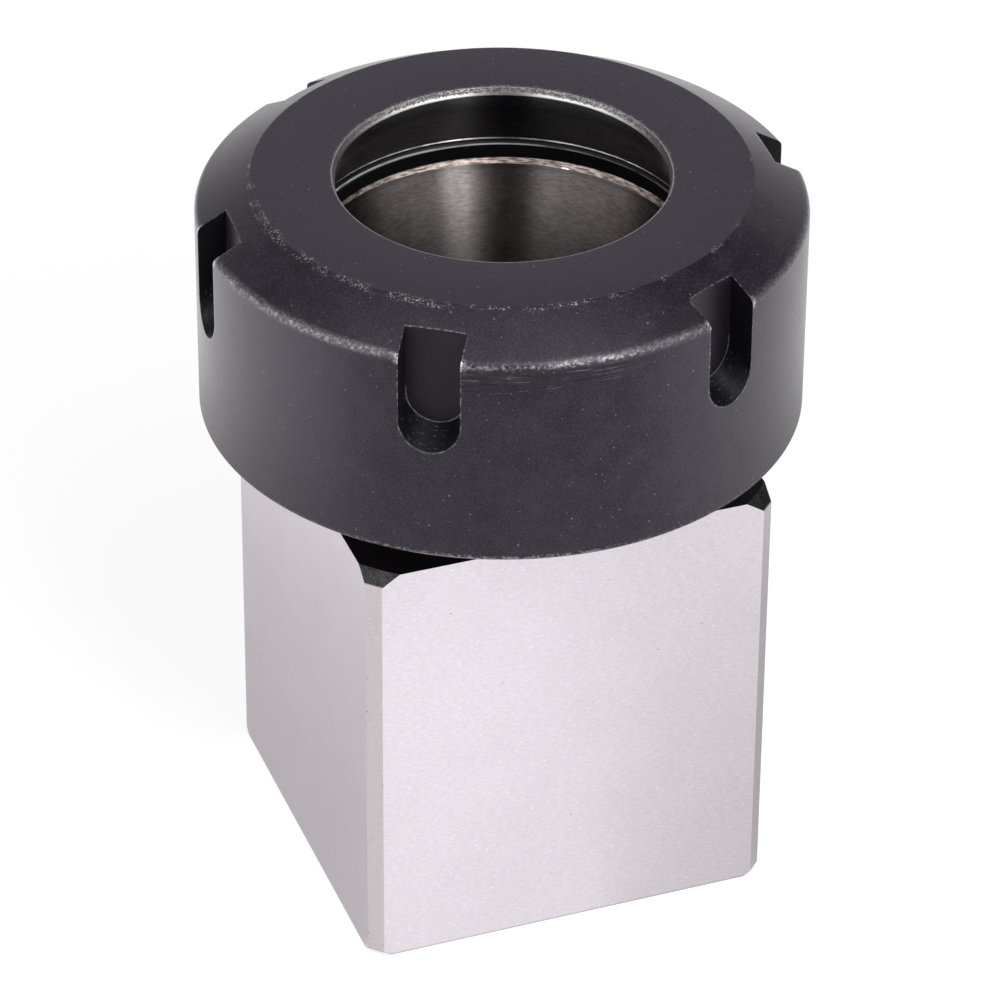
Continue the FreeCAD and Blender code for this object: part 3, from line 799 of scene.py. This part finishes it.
# Slot floor and sides: the same film over milling marks, rubbed bare in the round end
floor = Finish("slot_floor", IOR=1.37, Specular_Tint=(0.95, 0.90, 1.0, 1.0))
at = slot_place(floor)
circle = (at.across * at.across + at.up * at.up) ** 0.5
swirl = floor.noise(floor.vector(circle * 7.0, at.across * 0.7, floor.z * 0.5), 1.0, 2.0, 0.6)
floor_fuzz = floor.noise(floor.place, 4.0, 3.0, 0.6)
floor_foot = floor.rise(at.beside, -0.20, -0.04) * floor.rise(at.up, 1.2, -0.6)
floor_bare = floor_foot * floor.rise(floor_fuzz, 0.3, 0.55) * 0.75 + floor.specks(
    floor.place, 0.06, 0.12) * 0.3
floor_film = floor.blend(
    swirl * 0.5 + floor_fuzz * 0.5, (0.001, 0.001, 0.002, 1), (0.012, 0.010, 0.016, 1))
floor.feed(
    Base_Color=floor.blend(floor_bare, floor_film, STEEL),
    Metallic=floor_bare,
    Roughness=0.34 + 0.14 * floor_fuzz,
    Normal=floor.bump(swirl * floor.rise(circle, 1.4, 2.4) + floor_fuzz * 0.3, 0.02))

side = Finish("slot_sides", IOR=1.25)
at = slot_place(side)
streak = side.noise(side.vector(at.across * 1.2, at.out * 7.0, side.z * 1.2), 1.0, 3.0, 0.65)
side_bare = side.rise(streak, 0.60, 0.72) * side.rise(at.up, 0.4, -0.8) * 0.32
side_edge = side.rise(side.r, BARREL - 0.10, BARREL) * side.rise(streak, 0.3, 0.6) * 0.4
side_bare = side_bare.most(side_edge)
side_film = side.blend(streak, (0.001, 0.001, 0.002, 1), (0.007, 0.006, 0.009, 1))
side.feed(
    Base_Color=side.blend(side_bare, side_film, STEEL),
    Metallic=side_bare,
    Roughness=0.38 + 0.15 * streak,
    Normal=side.bump(streak, 0.02))

# The lip's finish runs from the middle of the fifth rounded corner to the middle of the
# sixth, the cone's from there, and the seat's over the last rounded corner
BLACK, LIP, CONE, SEAT, INNER = range(5)
lip_from = 1 + 4 * ROUND_STEPS + ROUND_STEPS // 2
cone_from = lip_from + ROUND_STEPS
seat_from = len(turned_rows) - ROUND_STEPS
nut_row_finish = np.full(len(nut_rows), INNER)
nut_row_finish[:lip_from] = BLACK
nut_row_finish[lip_from:cone_from] = LIP
nut_row_finish[cone_from:seat_from] = CONE
nut_row_finish[seat_from:len(turned_rows) - 1] = SEAT
nut = ring_mesh("nut_body", nut_rows, even, [black, lip, cone, seat, inner],
                lambda i, j: nut_row_finish[i])


def slot_cutter(name):
    """Six U-shaped prisms in one mesh: the outline (across, height) is a half circle under
    two upright sides, and moves down by SLOT_FALL for each millimetre outwards."""
    arc = np.linspace(np.pi, 2 * np.pi, ARC_POINTS)
    across = np.concatenate([SLOT_HALF * np.cos(arc), [SLOT_HALF, -SLOT_HALF]])
    height = np.concatenate([SLOT_HALF * np.sin(arc), [CUTTER_UP, CUTTER_UP]]) + SLOT_END
    out = np.array([SLOT_FLOOR, BARREL + CUTTER_OUT])
    bearing = SLOT_BEARING + np.arange(SLOTS) * 2 * np.pi / SLOTS
    b, o, k = np.meshgrid(bearing, out, np.arange(len(across)), indexing="ij")
    x, y = o * np.cos(b) - across[k] * np.sin(b), o * np.sin(b) + across[k] * np.cos(b)
    z = height[k] - (o - SLOT_FLOOR) * SLOT_FALL
    points = np.stack([x, y, z], -1).reshape(-1, 3) * MM
    count = len(across)
    faces, finish = [], []
    for slot in range(SLOTS):
        low, high = slot * 2 * count, (slot * 2 + 1) * count
        faces.append([low + n for n in range(count)])
        faces.append([high + n for n in reversed(range(count))])
        faces += [[low + n, high + n, high + (n + 1) % count, low + (n + 1) % count]
                  for n in range(count)]
        finish += [0, 1] + [1] * count
    mesh = bpy.data.meshes.new(name)
    mesh.from_pydata(points, [], faces)
    mesh.polygons.foreach_set("material_index", finish)
    mesh.materials.append(floor.material)
    mesh.materials.append(side.material)
    work = bmesh.new()
    work.from_mesh(mesh)
    bmesh.ops.recalc_face_normals(work, faces=work.faces)
    work.to_mesh(mesh)
    work.free()
    return link(bpy.data.objects.new(name, mesh))


def finished(piece):
    """Gives the piece the mesh that its modifiers make, and drops the modifiers."""
    bpy.context.view_layer.update()
    shown = piece.evaluated_get(bpy.context.evaluated_depsgraph_get())
    mesh = bpy.data.meshes.new_from_object(shown)
    piece.modifiers.clear()
    piece.data = mesh


cutter = slot_cutter("slot_cutter")
milled = nut.modifiers.new("slots", "BOOLEAN")
milled.operation, milled.object, milled.solver = "DIFFERENCE", cutter, "EXACT"
milled.material_mode = "TRANSFER"
finished(nut)
bpy.data.objects.remove(cutter)
smooth(nut)
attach(nut, "nut")
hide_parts("closer_nut")
